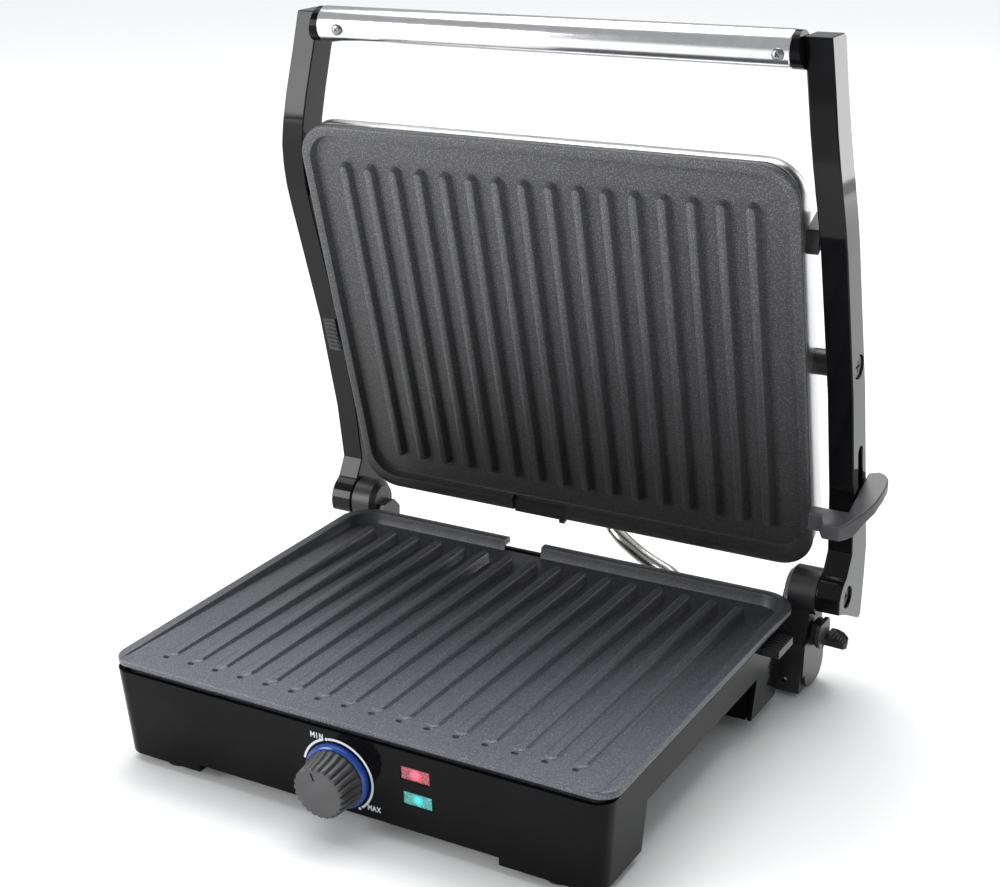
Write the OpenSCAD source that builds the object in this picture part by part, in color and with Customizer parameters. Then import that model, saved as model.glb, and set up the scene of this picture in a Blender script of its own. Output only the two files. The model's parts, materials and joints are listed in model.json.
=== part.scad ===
// Panini press: hinged base and lid with ribbed plates, side arms and a bar handle.
// +X right, +Y back, +Z up, millimetres. Y is counted from the lower plate's front lip
// inside each module, and place() moves the whole press over its own middle.

/* [Plates] */
// Width of each cooking plate
plate_w = 290; // [270:1:292]
// Depth of each cooking plate, front to back
plate_d = 246.5; // [240:0.5:247]
// Corner radius of the plates, at the back of the lower one
plate_corner = 18; // [12:1:24]
// Radius of the lower plate's two front corners
front_corner = 11; // [8:1:18]
// Number of ridges on each plate
ridge_count = 16; // [8:1:16]
// Distance from one ridge to the next
ridge_pitch = 15.9; // [14:0.1:16]
// Width of a ridge along its top
ridge_top_w = 4.6; // [3:0.1:6]

/* [Base] */
// Height of the lower plate's rim above the table
plate_top = 60.5; // [58:0.5:62]
// Width of the housing at its upper rim
base_w = 287; // [285:1:289]
// Wall thickness of the housing
base_wall = 2.5; // [2:0.5:2.5]
// Radius of the control knob at its face
knob_r = 14.5; // [13:0.5:15]
// Turn of the control knob from MIN to MAX, in degrees
dial_turn = 164; // [120:2:170]

/* [Lid and arms] */
// Distance from the middle to an arm's inner face
arm_in = 152; // [151:0.5:154]
// Thickness of an arm, side to side
arm_t = 14; // [12:0.5:15]
// Depth of the lid behind its plate's rim
lid_depth = 36; // [34:1:38]
// Radius of the handle tube
handle_r = 9.6; // [8:0.2:10]
// Length of the handle tube
handle_len = 268; // [240:2:268]

/* [Hidden] */
$fn = 48;
eps = 0.01;
far = 400;

// Heights and depths of the base
lip_t = 4;
pan_t = 13;
pan_hw = plate_w / 2 - 13;
well_t = 8.9;
well_hw = plate_w / 2 - 5.5;
pan_front = 8;
pan_back = plate_d - 8.5;
rim_w = 7.5;
groove = 0.6;
slope_drop = 6.4;
slope_start = 16;
slope_end = 232;
ridge_front = 18.6;
ridge_back = 220;
rim_z = plate_top - 6;
leg_z = 5;
rear_leg_z = 8;
base_front = -1.5;
base_back = plate_d - 1.5;
base_mid = (base_front + base_back) / 2;
base_d = base_back - base_front;
base_corner = 18;
base_front_corner = front_corner - 1;
taper = 3.5;
front_skirt_z = 9.4;
side_skirt_z = 34;
front_box_d = 47;
rear_leg_y = 190;
rear_leg_x = 95;
leg_left_x = -91;
leg_right_x = 86.5;
cover_t = 1.5;
tray_t = 1;
tray_z = 38;
tray_front = 24;
tray_back = 229.5;
tray_hw = 127.5;
tube_r = 3.2;
panel_tilt = atan(taper / (rim_z - leg_z));

// Control panel
knob_x = -2.6;
knob_z = 29.6;
knob_depth = 14.4;
knob_foot_r = 16.4;
shaft_r = 3;
run_fit = 0.05;
ring_r = 18;
ring_t = 3.8;
arc_r = 20;
ink = 0.25;
min_angle = 106;
max_angle = min_angle - dial_turn + 3;

// Hinge, pivots and lid
hinge = [261.5, plate_top - 1.5];
pivot = [246.8, plate_top + 135.7];
lid_lean = 16.4;
lid_foot = [261, plate_top + 10.5];
lid_x = 143.75;
lid_corner = 19;
pivot_m = (pivot[0] - lid_foot[0]) * cos(lid_lean) + (pivot[1] - lid_foot[1]) * sin(lid_lean);
pivot_t = (pivot[1] - lid_foot[1]) * cos(lid_lean) - (pivot[0] - lid_foot[0]) * sin(lid_lean);
pin_r = 4;
drum_r = 13.4;
boss_r = 14.5;
arm_out = arm_in + arm_t;
knee_z = plate_top + 220;
arm_inset = 13.3 / 80;
handle = [209, plate_top + 299.5];
handle_wall = 1.2;
handle_screw_x = [-handle_len / 2 + 13.5, handle_len / 2 - 5.5];

// Release lever, latch and buttons
lever = [258, 36.5];
lever_r = 9.5;
lever_top = 43;
latch_angle = 14;
latch_x = 179;

// Overall box, used to set the origin under its middle
box_x = [-arm_out, latch_x];
knob_face = panel_y(knob_z) - (ring_t + 0.6 + knob_depth) * cos(panel_tilt);
knob_reach = knob_face - (knob_r - 0.8) * sin(panel_tilt);

// Glands on the rear wall
gland_z = 44;
cord_x = -70;
cord_gland_r = 5;
conduit_x = 66;
conduit_gland_r = 6;

// Conduit route, base half and lid half, with a gap between the halves
conduit_r = 4.5;
base_route = [[66, 247, 44], [66, 256, 44], [63, 266, 44], [56, 273, 45], [46, 276, 47],
    [36, 277, 51], [28, 277, 56], [22, 277.5, 60], [17.5, 279, 63]];
lid_route = [[15.8, 280, 64.2], [12.5, 282.5, 66.3], [10, 286.5, 68.3], [8, 292, 71],
    [6, 298, 75.5], [4, 303, 82.5], [3, 305, 90], [2, 305, 100], [1, 305, 108],
    [0, 305, 113.6], [0, 304.1, 117.6], [0, 301.4, 120.8], [0, 297.6, 122.5],
    [0, 293.5, 122.2], [0, 287, 120.3], [0, 280, 118.3]];

box_y = [knob_reach, max([for (p = lid_route) p[1]]) + conduit_r];

function panel_y(z) = base_front + taper * (rim_z - z) / (rim_z - leg_z);
function ridge_x(i) = (i - (ridge_count - 1) / 2) * ridge_pitch;
function corner(cx, cy, r, a0, n) =
    [for (i = [0:n]) [cx + r * cos(a0 + 90 * i / n), cy + r * sin(a0 + 90 * i / n)]];
// Outline with corner radius r, or q at its two y0 corners
function rounded(hw, y0, y1, r, q = 0, n = 9) = let (f = q > 0 ? q : r) concat(
    corner(hw - r, y1 - r, r, 0, n), corner(-hw + r, y1 - r, r, 90, n),
    corner(-hw + f, y0 + f, f, 180, n), corner(hw - f, y0 + f, f, 270, n));
function arc(c, r, a0, a1, n) =
    [for (i = [0:n]) [c[0] + r * cos(a0 + (a1 - a0) * i / n), c[1] + r * sin(a0 + (a1 - a0) * i / n)]];

// Moves the press so that the middle of its box is over the origin
module place() translate([-(box_x[0] + box_x[1]) / 2, -(box_y[0] + box_y[1]) / 2, 0]) children();
// Lid frame: X right, Y into the lid from its plate's rim, Z up the lid
module in_lid() place() translate([0, lid_foot[0], lid_foot[1]]) rotate([lid_lean, 0, 0]) children();
// Panel frame: origin on the front panel at [x, z], -Y out of the panel
module on_panel(x, z) place() translate([x, panel_y(z), z]) rotate([panel_tilt, 0, 0]) children();
// Flat plate from depth a to depth b, drawn in X and Z
module slab(a, b) translate([0, b, 0]) rotate([90, 0, 0]) linear_extrude(b - a) children();
// Flat layer from height a to height b
module layer(a, b) translate([0, 0, a]) linear_extrude(b - a) children();
// Prism across X from a to b, drawn in Y and Z
module across(a, b) translate([a, 0, 0]) rotate([90, 0, 90]) linear_extrude(b - a) children();
// Round bar across X from a to b at [y, z]
module bar(a, b, at, r) translate([a, at[0], at[1]]) rotate([0, 90, 0]) cylinder(h = b - a, r = r);
// Copy for the right (side 1) or the left (side -1)
module side_of(side) mirror([side < 0 ? 1 : 0, 0, 0]) children();
module block(x, y, z) translate([x[0], y[0], z[0]]) cube([x[1] - x[0], y[1] - y[0], z[1] - z[0]]);

// Pan-head screw along Z, head up, with a cross recess
module screw(head_r, head_h, shank_r, shank_h) {
    difference() {
        cylinder(h = head_h, r1 = head_r, r2 = head_r * 0.8);
        for (turn = [0, 90]) {
            rotate(turn) translate([-head_r * 0.55, -head_r * 0.12, head_h * 0.45])
                cube([head_r * 1.1, head_r * 0.24, head_h]);
        }
    }
    translate([0, 0, -shank_h]) cylinder(h = shank_h + eps, r = shank_r);
}

// Heating rod with its two ends forward: legs run to depth y1 and join across the back
module heating_rod(hw, y0, y1, r, bend) {
    for (s = [1, -1]) {
        translate([s * hw, y0, 0]) rotate([-90, 0, 0]) cylinder(h = y1 - bend - y0, r = r);
        translate([s * (hw - bend), y1 - bend, 0]) rotate(s > 0 ? 0 : 90)
            rotate_extrude(angle = 90) translate([bend, 0]) circle(r);
    }
    translate([-(hw - bend), y1, 0]) rotate([0, 90, 0]) cylinder(h = 2 * (hw - bend), r = r);
}

// Round tube swept along a list of points; the route never runs along the direction off
module sweep(route, r, off, sides = 10) {
    last = len(route) - 1;
    function heading(i) = route[min(i + 1, last)] - route[max(i - 1, 0)];
    function ring(i) = let (
        d = heading(i) / norm(heading(i)),
        a = cross(d, off) / norm(cross(d, off)),
        b = cross(d, a)
    ) [for (k = [0:sides - 1]) route[i] + r * (a * cos(360 * k / sides) + b * sin(360 * k / sides))];
    points = [for (i = [0:last]) for (p = ring(i)) p];
    walls = [for (i = [0:last - 1]) for (k = [0:sides - 1])
        [i * sides + k, (i + 1) * sides + k, (i + 1) * sides + (k + 1) % sides, i * sides + (k + 1) % sides]];
    start = [[for (k = [0:sides - 1]) k]];
    end = [[for (k = [0:sides - 1]) last * sides + sides - 1 - k]];
    polyhedron(points, concat(walls, start, end));
}

// ---- Base ----

// Outline of the housing's outside or inside, narrowing toward the table
module base_block(inset, z0) {
    hw = base_w / 2 - inset;
    hd = base_d / 2 - inset;
    drop = taper * (rim_z - z0) / (rim_z - leg_z);
    translate([0, base_mid, 0]) hull() {
        layer(rim_z, rim_z + eps)
            polygon(rounded(hw, -hd, hd, base_corner - inset, base_front_corner - inset));
        layer(z0, z0 + eps)
            polygon(rounded(hw - drop, drop - hd, hd - drop,
                base_corner - inset, base_front_corner - inset));
    }
}

// Floors inside the four legs, which carry the feet, and the rear legs' inner walls
module leg_insides() {
    block([leg_right_x, 137], [5, front_box_d], [leg_z, leg_z + 3]);
    block([-137, leg_left_x], [5, front_box_d], [leg_z, leg_z + 3]);
    for (s = [1, -1]) side_of(s) {
        block([rear_leg_x, 137], [rear_leg_y, 239], [rear_leg_z, rear_leg_z + 3]);
        block([rear_leg_x, 137], [rear_leg_y, rear_leg_y + base_wall], [rear_leg_z, side_skirt_z]);
        block([rear_leg_x, rear_leg_x + base_wall], [rear_leg_y, 243], [rear_leg_z, side_skirt_z]);
    }
}

boss_places = [[135, 75], [135, 170], [-135, 75], [-135, 170], [45, 236.5], [-30, 236.5]];
foot_places = [[113, 14, leg_z], [-113, 14, leg_z], [118, 216, rear_leg_z], [-118, 216, rear_leg_z]];

module base_housing() color("#141416") place() difference() {
    union() {
        difference() {
            base_block(0, leg_z);
            translate([0, 0, eps]) base_block(base_wall, leg_z - 2);
            block([-far, far], [-far, far], [rim_z, far]);
        }
        intersection() {
            leg_insides();
            base_block(base_wall / 2, leg_z - eps);
        }
        for (p = boss_places) translate([p[0], p[1], side_skirt_z + cover_t + 0.2]) cylinder(h = 10, r = 6);
    }
    // Open between the legs
    block([leg_left_x, leg_right_x], [-10, front_box_d], [0, front_skirt_z]);
    block([-far, far], [front_box_d, rear_leg_y], [0, side_skirt_z]);
    block([-rear_leg_x, rear_leg_x], [rear_leg_y - 1, far], [0, side_skirt_z]);
    block([-far, far], [rear_leg_y - 1, far], [0, rear_leg_z]);
    // Screw holes, foot holes and the openings for glands and the plate button
    for (p = boss_places) translate([p[0], p[1], side_skirt_z]) cylinder(h = 9, r = 1.6);
    for (p = foot_places) translate([p[0], p[1], p[2] - 1]) cylinder(h = 6, r = 2.55);
    block([130, far], [191.6, 213.4], [plate_top - 13.3, plate_top - 7.7]);
    for (g = [[cord_x, cord_gland_r], [conduit_x, conduit_gland_r]]) at_rear(g[0]) {
        translate([0, 0, -10]) cylinder(h = 20, r = g[1] + 0.1);
        cylinder(h = 10, r = g[1] + 3.1);
    }
    // Shaft hole and lamp windows in the front panel
    translate([knob_x, panel_y(knob_z), knob_z]) rotate([panel_tilt, 0, 0])
        rotate([90, 0, 0]) cylinder(h = 20, r = 5.3, center = true);
    for (w = window_places) translate([w[0], panel_y(w[1]), w[1]]) rotate([panel_tilt, 0, 0])
        translate([-window_w / 2, -5, -window_h / 2]) cube([window_w, 15, window_h]);
}

module bottom_cover() color("#26272a") place() difference() {
    across(-136.5, 136.5) polygon([
        [6, front_skirt_z + 0.2], [45.5, front_skirt_z + 0.2], [45.5, side_skirt_z + 0.2],
        [239.5, side_skirt_z + 0.2], [239.5, side_skirt_z + cover_t + 0.2],
        [44, side_skirt_z + cover_t + 0.2], [44, front_skirt_z + cover_t + 0.2],
        [6, front_skirt_z + cover_t + 0.2]]);
    for (p = boss_places) translate([p[0], p[1], side_skirt_z - 1]) cylinder(h = 4, r = 1.7);
    // Cooling slots
    for (i = [-4:4]) block([i * 18 - 2, i * 18 + 2], [90, 150], [side_skirt_z - 1, side_skirt_z + 4]);
    // Rounded corners clear the housing
    for (s = [1, -1]) side_of(s) {
        block([128, far], [232, far], [0, far]);
        block([128, far], [0, 13], [0, side_skirt_z]);
    }
}

module cover_screws() color("#9a9b9d") place()
    for (p = boss_places) translate([p[0], p[1], side_skirt_z + 0.2])
        mirror([0, 0, 1]) screw(3.2, 2, 1.5, 8);

module rubber_feet() color("#1b1b1c") place() for (p = foot_places) translate([p[0], p[1], 0]) {
    translate([0, 0, 1]) cylinder(h = p[2] - 1, r = 7.5);
    cylinder(h = 1 + eps, r1 = 6.6, r2 = 7.5);
    cylinder(h = p[2] + 4.5, r = 2.5);
}

// Side shape of the cooking face, which falls toward the back, at a height offset
function cook_line(drop) = [
    [-40, plate_top - groove - drop], [slope_start, plate_top - groove - drop],
    [slope_end, plate_top - groove - slope_drop - drop],
    [slope_end + 6, plate_top - groove - slope_drop - drop]];

module lower_plate() color("#3b3c42") place() {
    difference() {
        union() {
            layer(plate_top - lip_t, plate_top)
                polygon(rounded(plate_w / 2, 0, plate_d, plate_corner, front_corner));
            layer(plate_top - well_t, plate_top - lip_t + eps)
                polygon(rounded(well_hw, 4, plate_d - 5.5, 14));
            layer(plate_top - pan_t, plate_top - well_t + eps)
                polygon(rounded(pan_hw, pan_front, pan_back, 12));
        }
        intersection() {
            layer(plate_top - 20, plate_top + 10)
                polygon(rounded(plate_w / 2 - rim_w, -30, plate_d - rim_w, 12));
            across(-far / 2, far / 2)
                polygon(concat(cook_line(0), [[slope_end + 12, plate_top + 12], [-40, plate_top + 12]]));
        }
        // Grease outlet through the rear rim
        block([-37, -13], [plate_d - 12, plate_d + 1], [plate_top - groove - slope_drop, plate_top + 1]);
        // Drip dimple at the front end of each ridge
        for (i = [0:ridge_count - 1])
            translate([ridge_x(i), ridge_front - 2.6, plate_top - 2]) cylinder(h = 5, r = 1.9);
    }
    intersection() {
        translate([0, ridge_back + 8, 0]) rotate([90, 0, 0]) linear_extrude(ridge_back + 8)
            for (i = [0:ridge_count - 1]) polygon([
                [ridge_x(i) - 4.4, plate_top - 10], [ridge_x(i) + 4.4, plate_top - 10],
                [ridge_x(i) + ridge_top_w / 2, plate_top], [ridge_x(i) - ridge_top_w / 2, plate_top]]);
        across(-far / 2, far / 2) polygon([
            [ridge_front - 1, plate_top - groove - 2.2], [ridge_front + 0.5, plate_top - groove],
            [ridge_back, plate_top - groove], [ridge_back + 3.5, plate_top - groove - slope_drop],
            [ridge_back + 3.5, plate_top - groove - slope_drop - 1.5]]);
    }
}

module lower_reflector() color("#b9bcc0") place() difference() {
    layer(tray_z, plate_top - pan_t) polygon(rounded(tray_hw, tray_front, tray_back, 11));
    layer(tray_z + tray_t, plate_top)
        polygon(rounded(tray_hw - tray_t, tray_front + tray_t, tray_back - tray_t, 10));
}

module lower_element() color("#77797c") place()
    translate([0, 0, plate_top - pan_t - tube_r]) heating_rod(88, 32, 206, tube_r, 26);

module thermostat() color("#c9b48a") on_panel(knob_x, knob_z) difference() {
    union() {
        translate([0, 4.2, 0]) rotate([90, 0, 0]) cylinder(h = 4.2, r = 5);
        translate([-12, 3.2, -8.5]) cube([24, 1.2, 17]);
        translate([0, 18, 0]) rotate([90, 0, 0]) cylinder(h = 14, r = 8.6);
        translate([0, 21, 0]) rotate([90, 0, 0]) cylinder(h = 3.5, r = 6);
    }
    translate([0, 14, 0]) rotate([90, 0, 0]) cylinder(h = 20, r = shaft_r + run_fit);
}

module thermostat_shaft() color("#c8c9cc") on_panel(knob_x, knob_z)
    translate([0, 12, 0]) rotate([90, 0, 0]) cylinder(h = 12 + ring_t + 10, r = shaft_r);

module control_knob() color("#4a4b4e") on_panel(knob_x, knob_z)
    translate([0, -ring_t - 0.6, 0]) rotate([90, 0, 0]) difference() {
        rotate_extrude() polygon([
            [0, 0], [knob_foot_r, 0], [knob_foot_r, 1.2], [knob_r + 0.7, 5], [knob_r, knob_depth - 0.8],
            [knob_r - 0.8, knob_depth], [0, knob_depth]]);
        translate([0, 0, -1]) cylinder(h = 10.4, r = shaft_r);
        translate([0, 0, -1]) difference() {
            cylinder(h = 12, r = 12.2);
            cylinder(h = 13, r = 5.5);
        }
        // Finger flutes and the pointer groove
        for (i = [0:23]) rotate(i * 15 + 7.5) translate([knob_r + 0.9, 0, -1]) cylinder(h = 30, r = 1.5);
        rotate(min_angle) translate([7, -0.7, knob_depth - 0.9]) cube([4.6, 1.4, 2]);
    }

module dial_ring() color("#17489c") on_panel(knob_x, knob_z) rotate([90, 0, 0])
    rotate_extrude() polygon(concat(
        [[9, 0], [ring_r, 0]], arc([ring_r - 2, ring_t - 2], 2, 0, 90, 6), [[9, ring_t]]));

// One straight stroke of a printed mark, drawn in X and Z
module stroke(from, to, w = 0.5) {
    run = norm(to - from);
    turn = atan2(to[1] - from[1], to[0] - from[0]);
    translate([from[0], 0, from[1]]) rotate([0, -turn, 0]) translate([-w / 2, -ink, -w / 2])
        cube([run + w, ink, w]);
}
// Printed word made of joined strokes; each letter is a list of points and h is its height
module word(letters, h, step) {
    for (k = [0:len(letters) - 1]) for (line = letters[k]) for (j = [0:len(line) - 2])
        stroke([k * step, 0] + h * line[j], [k * step, 0] + h * line[j + 1]);
}
letter_m = [[[0, 0], [0, 1], [0.35, 0.4], [0.7, 1], [0.7, 0]]];
letter_i = [[[0.3, 0], [0.3, 1]]];
letter_n = [[[0, 0], [0, 1], [0.6, 0], [0.6, 1]]];
letter_a = [[[0, 0], [0.35, 1], [0.7, 0]], [[0.15, 0.35], [0.55, 0.35]]];
letter_x = [[[0, 0], [0.65, 1]], [[0, 1], [0.65, 0]]];

module dial_marks() color("#e8e9ec") on_panel(knob_x, knob_z) {
    rotate([90, 0, 0]) {
        rotate(112) rotate_extrude(angle = 54) translate([arc_r - 0.6, 0]) square([1.2, ink]);
        rotate(max_angle + 5) rotate_extrude(angle = min_angle - max_angle - 8)
            translate([arc_r - 0.6, 0]) square([1.2, ink]);
        for (a = [min_angle, max_angle]) rotate(a) translate([arc_r, 0, 0]) cylinder(h = ink, r = 0.8);
    }
    translate([-14.5, 0, 18.6]) word([letter_m, letter_i, letter_n], 2.8, 2.6);
    translate([16.6, 0, -15.2]) word([letter_m, letter_a, letter_x], 2.6, 2.6);
}

window_w = 16.4;
window_h = 7.8;
window_places = [[41.9, plate_top - 18.5], [42.6, plate_top - 32.7]];

// Lens pressed into a lamp window from behind
module lens() {
    translate([-window_w / 2 + 0.1, 0.8, -window_h / 2 + 0.1]) cube([window_w - 0.2, 2.6, window_h - 0.2]);
    translate([-window_w / 2 - 1, 3.2, -window_h / 2 - 1]) cube([window_w + 2, 1.2, window_h + 2]);
}
module red_lens() color("#c8324a") on_panel(window_places[0][0], window_places[0][1]) lens();
module green_lens() color("#35b8a8") on_panel(window_places[1][0], window_places[1][1]) lens();
module indicator_lamps() color("#f0e6dc") for (w = window_places) on_panel(w[0], w[1])
    translate([-6, 6.6, 0]) rotate([0, 90, 0]) cylinder(h = 12, r = 2.1);
module lamp_holder() color("#8a6b3c") place() difference() {
    block([27, 55], [12, 13.5], [20, 45]);
    for (x = [30, 52]) translate([x, 12.5, 22]) rotate([90, 0, 0]) cylinder(h = 6, r = 1.2, center = true);
}

module terminal_block() color("#d8d3c4") place() difference() {
    block([72, 114], [20, 36], [front_skirt_z + cover_t + 0.2, 25]);
    for (i = [0:3]) translate([78 + i * 10, 28, 16]) cylinder(h = 12, r = 2.6);
    for (i = [0:3]) translate([78 + i * 10, 28, 16]) rotate([90, 0, 0])
        cylinder(h = 20, r = 1.8, center = true);
}

// Gland through a wall: Z runs outward, the wall's outer face is at 0
module gland(r_wall, r_bore) difference() {
    union() {
        translate([0, 0, -6]) cylinder(h = 6, r = r_wall);
        cylinder(h = 2.5, r = r_wall + 3);
        translate([0, 0, 2.5 - eps]) cylinder(h = 6, r1 = r_wall, r2 = r_wall - 0.9);
        translate([0, 0, -6]) cylinder(h = 2, r = r_wall + 1.5);
    }
    translate([0, 0, -7]) cylinder(h = 20, r = r_bore);
}
// Place on the rear wall's outer face at the gland height, Z pointing out
module at_rear(x)
    translate([x, 2 * base_mid - panel_y(gland_z), gland_z]) rotate([-90, 0, 0]) children();
module cord_gland() color("#1b1b1c") place() at_rear(cord_x) gland(cord_gland_r, 3.6);
module conduit_gland_base() color("#1b1b1c") place()
    at_rear(conduit_x) gland(conduit_gland_r, conduit_r + 0.1);
module conduit_lower() color("#a9acb0") place() sweep(base_route, conduit_r, [0.1, 0.3, 1]);

// ---- Hinge ----

// Bracket behind the housing: hinge drum on a web with an open foot
module hinge_bracket(drum_in) difference() {
    union() {
        bar(drum_in + 3, 151.5, hinge, drum_r);
        translate([drum_in, hinge[0], hinge[1]]) rotate([0, 90, 0])
            cylinder(h = 3 + eps, r1 = drum_r - 3, r2 = drum_r);
        across(131.5, 148.5) polygon([
            [base_back - 3, 3], [274, 3], [274, hinge[1] - 6], [268, hinge[1]],
            [255, hinge[1]], [base_back + 1, 36], [base_back - 3, 34]]);
        across(148, 150.5) polygon(concat(
            [[base_back - 4, 34], [base_back - 4, 14]], arc([256, 14], 11, 180, 270, 5),
            arc([264, 14], 11, 270, 360, 6), [[275, 34], [268, 37], [255, 37]]));
    }
    bar(drum_in + 2, 160, hinge, pin_r);
    // Open underside between the web's walls
    block([134.5, 145.5], [base_back, 271], [0, 30]);
}
module hinge_bracket_left() color("#3c3d40") place() difference() {
    side_of(-1) hinge_bracket(136);
    bracket_holes(-1);
}
module hinge_bracket_right() color("#4a4b4e") place() difference() {
    union() {
        hinge_bracket(133);
        // Ribbed collar around the release lever's pin
        intersection() {
            union() {
                for (i = [0:3])
                    bar(150.5 + i * 0.62, 150.5 + i * 0.62 + 0.4, lever, i % 2 == 0 ? 8.6 : 7.8);
                bar(150, 152.8, lever, 7.6);
            }
            block([149, 154], [240, 290], [0, lever_top]);
        }
    }
    bracket_holes(1);
    bar(140, 160, lever, 2);
}
module bracket_holes(side) side_of(side)
    for (z = [10, 30]) translate([140, base_back - 8, z]) rotate([-90, 0, 0]) cylinder(h = 12, r = 1.6);

// Shoulder screw across X: head in the arm's outer recess, shank inward
module shoulder_screw(at, inner, recess) difference() {
    union() {
        bar(arm_out - recess, arm_out - recess + 3, at, 5.8);
        bar(inner, arm_out - recess + eps, at, pin_r);
    }
    for (turn = [0, 90]) translate([arm_out - recess + 2, at[0], at[1]]) rotate([turn, 0, 0])
        translate([0, -3.2, -0.6]) cube([2, 6.4, 1.2]);
}
hinge_recess = 4.5;
pivot_recess = 4;
module hinge_pin_left() color("#8f9194") place() side_of(-1) shoulder_screw(hinge, 138.5, hinge_recess);
module hinge_pin_right() color("#8f9194") place() shoulder_screw(hinge, 138.5, hinge_recess);

module release_lever() color("#47484b") place() difference() {
    union() {
        intersection() {
            bar(153.1, 155.6, lever, lever_r);
            block([150, 160], [lever[0] - 20, lever[0] + 20], [0, lever_top]);
        }
        // Ribbed finger tab
        layer(28.4, 32) polygon([[154.5, 258.5], [167, 257.5], [168.3, 259.5], [166.8, 267],
            [162.5, 272.6], [158, 275.2], [154.5, 275.2]]);
        for (i = [0:4]) translate([156.8 + 2 * i, 260.5 - i * 0.4, 31.9]) cube([0.9, 12 - 2 * i, 0.8]);
    }
    bar(150, 156, lever, 2.05);
}
module release_pin() color("#8f9194") place() bar(146, 155.4, lever, 2);

module lower_plate_button() color("#2c2d2f") place() {
    block([139.5, 152.5], [192, 213], [plate_top - 13, plate_top - 9.4]);
    block([142.5, 152.5], [192, 213], [plate_top - 9.5, plate_top - 8.6]);
    block([138, 139.6], [189.5, 215.5], [plate_top - 14.5, plate_top - 9.3]);
    for (i = [0:6])
        block([144.5, 151.8], [193.2 + 2.9 * i, 194.4 + 2.9 * i], [plate_top - 8.7, plate_top - 8]);
}

// ---- Arms and handle ----

// Side outline of an arm: top, front edge down to the hinge boss, heel, back edge
arm_front = [[208.2, 306], [206.6, 284], [204.4, 262], [203.9, 245], [204.7, 232], [207.2, 220],
    [210.4, 208], [214.8, 195], [240.8, 120], [256.6, 60], [262.6, 24], [260.2, 19.2]];
arm_back = [[260.7, -12.2], [284.6, -23.8], [287, -24], [289, -21.5], [289.2, 0], [288.5, 20],
    [277.8, 60], [261, 120], [234.3, 195], [230.3, 208], [227.3, 220], [225, 232], [224.1, 245],
    [224.4, 262], [225.8, 284], [228.2, 304], [226, 306]];
function lift(list) = [for (p = list) [p[0], p[1] + plate_top]];
arm_outline = concat(lift(arm_front), arc(hinge, boss_r, 112, 205, 11), lift(arm_back));

// Leans what lies above the knee toward the middle
module lean_in() multmatrix([
    [1, 0, -arm_inset, arm_inset * knee_z],
    [0, 1, 0, 0],
    [0, 0, 1, 0],
    [0, 0, 0, 1]]) children();

// Slot that the latch slides in, drawn along its own length from the latch's place
latch_at = [270.2, plate_top + 50];
module along_slot() translate([0, latch_at[0], latch_at[1]]) rotate([latch_angle, 0, 0]) children();
module latch_slot(x0, x1, w, z0, z1) along_slot() {
    block([x0, x1], [-w / 2, w / 2], [z0, z1]);
    for (z = [z0, z1]) translate([x0, 0, z]) rotate([0, 90, 0]) cylinder(h = x1 - x0, r = w / 2);
}

module arm() difference() {
    union() {
        intersection() {
            across(arm_in, arm_out) polygon(arm_outline);
            block([0, far], [0, far], [0, knee_z]);
        }
        lean_in() intersection() {
            across(arm_in, arm_out) polygon(arm_outline);
            block([0, far], [0, far], [knee_z - eps, far]);
        }
    }
    bar(arm_in - 1, arm_out + 1, hinge, pin_r + run_fit);
    bar(arm_out - hinge_recess - 0.3, arm_out + 1, hinge, 6.3);
    bar(arm_in - 1, arm_out + 1, pivot, pin_r + run_fit);
    bar(arm_out - pivot_recess - 0.3, arm_out + 1, pivot, 6.5);
}
module arm_left() color("#17181a") place() side_of(-1) arm();
module arm_right() color("#17181a") place() difference() {
    arm();
    latch_slot(arm_out - 8, arm_out + 1, 6.6, -6, 35);
}

module handle_tube() color("#c9cacc") place() difference() {
    bar(-handle_len / 2, handle_len / 2, handle, handle_r);
    bar(-handle_len / 2 - 1, handle_len / 2 + 1, handle, handle_r - handle_wall);
    for (x = handle_screw_x) handle_screw_axis(x) cylinder(h = 20, r = 1.7, center = true);
}
// Axis of a handle screw, Z pointing out of the tube's front
module handle_screw_axis(x) translate([x, handle[0], handle[1] - 1.5])
    rotate([90, 0, 0]) translate([0, 0, handle_r]) children();
module handle_end(side) difference() {
    union() {
        side_of(side) bar(handle_len / 2, 146, handle, handle_r - 0.3);
        side_of(side) bar(handle_len / 2 - 18, handle_len / 2 + eps, handle, handle_r - handle_wall);
    }
    side_of(side) lean_in() block([arm_in, far], [0, far], [200, far]);
    for (x = handle_screw_x) handle_screw_axis(x) translate([0, 0, -8]) cylinder(h = 10, r = 1.5);
}
module handle_end_left() color("#1b1c1e") place() handle_end(-1);
module handle_end_right() color("#1b1c1e") place() handle_end(1);
module handle_screws() color("#b5b6b8") place()
    for (x = handle_screw_x) handle_screw_axis(x) screw(3.2, 1.6, 1.5, 7);

// Latch: hook bar before the right arm, thumb paddle beside it
module latch_lever() color("#58595c") place() difference() {
    union() {
        intersection() {
            layer(0, far) polygon(concat(
                [[146.3, 242.4], [152.8, 242.4], [156.5, 235.5], [166, 235.5], [174.6, 249]],
                [[178, 258], [latch_x, 266], [latch_x, 273]],
                arc([171, 273], 8, 15, 90, 5), [[arm_out + 0.4, 279], [arm_out + 0.4, 248], [146.3, 248]]));
            across(140, 190) polygon(lift([
                [235, 49.6], [240, 50.6], [246, 53.6], [262, 60.5], [282, 67.6], [282, 61],
                [262, 54], [249, 47.6], [244, 42.4], [240, 41.4], [235, 41.4]]));
        }
        // Carriage in the slot
        along_slot() block([arm_out - 7.6, arm_out + 4], [-3, 3], [-3, 9]);
    }
    along_slot() translate([arm_out - 8, 0, 3]) rotate([0, 90, 0]) cylinder(h = 20, r = 1.5);
}
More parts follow.
